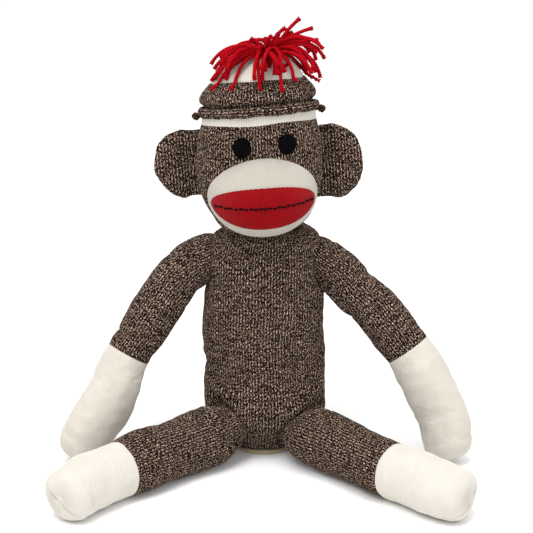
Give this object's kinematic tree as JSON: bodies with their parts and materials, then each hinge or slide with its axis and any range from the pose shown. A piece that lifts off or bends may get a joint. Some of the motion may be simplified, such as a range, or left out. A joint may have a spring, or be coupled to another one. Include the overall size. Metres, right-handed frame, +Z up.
{
  "type": "stuffed monkey",
  "caption": "Seated knitted stuffed monkey with a marl brown body, cream muzzle, hands and feet, red lips and a hat with a yarn pompom.",
  "frame": {"origin": "centre of the flat seat face that the toy sits on", "axes": "+Z up, -Y towards the toy's front, +X towards the toy's own left"},
  "size_m": [0.3307, 0.2756, 0.3509],
  "materials": {
    "marl_knit": "ribbed knit of dark brown and cream flecks",
    "cream_knit": "fine cream ribbed knit",
    "beige_knit": "beige knit",
    "red_knit": "red knit",
    "red_yarn": "twisted red yarn",
    "brown_yarn": "twisted brown yarn",
    "brown_thread": "sewing thread",
    "black_felt": "black felt",
    "black_thread": "black cotton thread",
    "fibre_fill": "loose white polyester fibre",
    "pouch_cotton": "plain woven cotton"
  },
  "bodies": {
    "torso": {"torso_cover": "marl_knit", "torso_stuffing": "fibre_fill", "pellet_pouch": "pouch_cotton", "seat_patch": "beige_knit"},
    "neck": {"neck_stuffing": "fibre_fill", "neck_drawstring": "brown_thread"},
    "head": {"head_cover": "marl_knit", "head_stuffing": "fibre_fill", "head_crown": "cream_knit", "muzzle_cover": "cream_knit", "muzzle_stuffing": "fibre_fill", "lips": "red_knit", "mouth_stitching": "black_thread", "eye_left": "black_felt", "eye_right": "black_felt", "hat_brim": "marl_knit", "hat_band": "marl_knit", "hat_dome": "cream_knit", "hat_knot_left": "brown_yarn", "hat_knot_right": "brown_yarn", "pompom": "red_yarn", "pompom_tie": "red_yarn"},
    "ear_left": {"ear_left_cover": "marl_knit", "ear_left_stuffing": "fibre_fill"},
    "ear_right": {"ear_right_cover": "marl_knit", "ear_right_stuffing": "fibre_fill"},
    "shoulder_left": {"shoulder_thread_left": "brown_thread"},
    "arm_left": {"arm_left_cover": "marl_knit", "arm_left_stuffing": "fibre_fill", "hand_left": "cream_knit"},
    "hip_left": {"hip_thread_left": "brown_thread"},
    "leg_left": {"leg_left_cover": "marl_knit", "leg_left_stuffing": "fibre_fill", "foot_left": "cream_knit"},
    "shoulder_right": {"shoulder_thread_right": "brown_thread"},
    "arm_right": {"arm_right_cover": "marl_knit", "arm_right_stuffing": "fibre_fill", "hand_right": "cream_knit"},
    "hip_right": {"hip_thread_right": "brown_thread"},
    "leg_right": {"leg_right_cover": "marl_knit", "leg_right_stuffing": "fibre_fill", "foot_right": "cream_knit"},
    "tail_root": {"tail_thread": "brown_thread"},
    "tail": {"tail_cover": "marl_knit", "tail_stuffing": "fibre_fill", "tail_tip": "cream_knit"}
  },
  "joints": [
    {"name": "head_turn", "type": "hinge", "parent": "torso", "child": "neck", "pos_m": [0, 0, 0.184], "axis": [0, 0, 1], "range_deg": [-60, 60]},
    {"name": "head_nod", "type": "hinge", "parent": "neck", "child": "head", "pos_m": [0, 0, 0.184], "axis": [0.9981, 0.061, 0], "range_deg": [-15, 12]},
    {"name": "ear_left_fold", "type": "hinge", "parent": "head", "child": "ear_left", "pos_m": [0.04905, 0.00701, 0.23758], "axis": [-0.0696, -0.0043, 0.9976], "range_deg": [-50, 50], "stiffness_Nm_per_rad": 0.01},
    {"name": "ear_right_fold", "type": "hinge", "parent": "head", "child": "ear_right", "pos_m": [-0.05706, 0.00052, 0.23816], "axis": [-0.0696, -0.0043, 0.9976], "range_deg": [-50, 50], "stiffness_Nm_per_rad": 0.01},
    {"name": "arm_left_swing", "type": "hinge", "parent": "torso", "child": "shoulder_left", "pos_m": [0.053, -0.0015, 0.155], "axis": [0, 0, -1], "range_deg": [-40, 17]},
    {"name": "arm_left_raise", "type": "hinge", "parent": "shoulder_left", "child": "arm_left", "pos_m": [0.053, -0.0015, 0.155], "axis": [-0.3821, -0.9241, 0], "range_deg": [-5, 60]},
    {"name": "arm_right_swing", "type": "hinge", "parent": "torso", "child": "shoulder_right", "pos_m": [-0.053, -0.0015, 0.155], "axis": [0, 0, 1], "range_deg": [-40, 17]},
    {"name": "arm_right_raise", "type": "hinge", "parent": "shoulder_right", "child": "arm_right", "pos_m": [-0.053, -0.0015, 0.155], "axis": [-0.3821, 0.9241, 0], "range_deg": [-5, 60]},
    {"name": "leg_left_splay", "type": "hinge", "parent": "torso", "child": "hip_left", "pos_m": [0.03, -0.037, 0.0225], "axis": [0, 0, -1], "range_deg": [-15, 38]},
    {"name": "leg_left_lift", "type": "hinge", "parent": "hip_left", "child": "leg_left", "pos_m": [0.03, -0.037, 0.0225], "axis": [-0.7071, -0.7071, 0], "range_deg": [-90, 45]},
    {"name": "leg_right_splay", "type": "hinge", "parent": "torso", "child": "hip_right", "pos_m": [-0.03, -0.037, 0.0225], "axis": [0, 0, 1], "range_deg": [-15, 38]},
    {"name": "leg_right_lift", "type": "hinge", "parent": "hip_right", "child": "leg_right", "pos_m": [-0.03, -0.037, 0.0225], "axis": [-0.7111, 0.7031, 0], "range_deg": [-90, 45]},
    {"name": "tail_swing", "type": "hinge", "parent": "torso", "child": "tail_root", "pos_m": [0, 0.043, 0.03], "axis": [0, 0, 1], "range_deg": [-35, 35]},
    {"name": "tail_lift", "type": "hinge", "parent": "tail_root", "child": "tail", "pos_m": [0, 0.043, 0.03], "axis": [1, 0, 0], "range_deg": [-8, 65]}
  ]
}
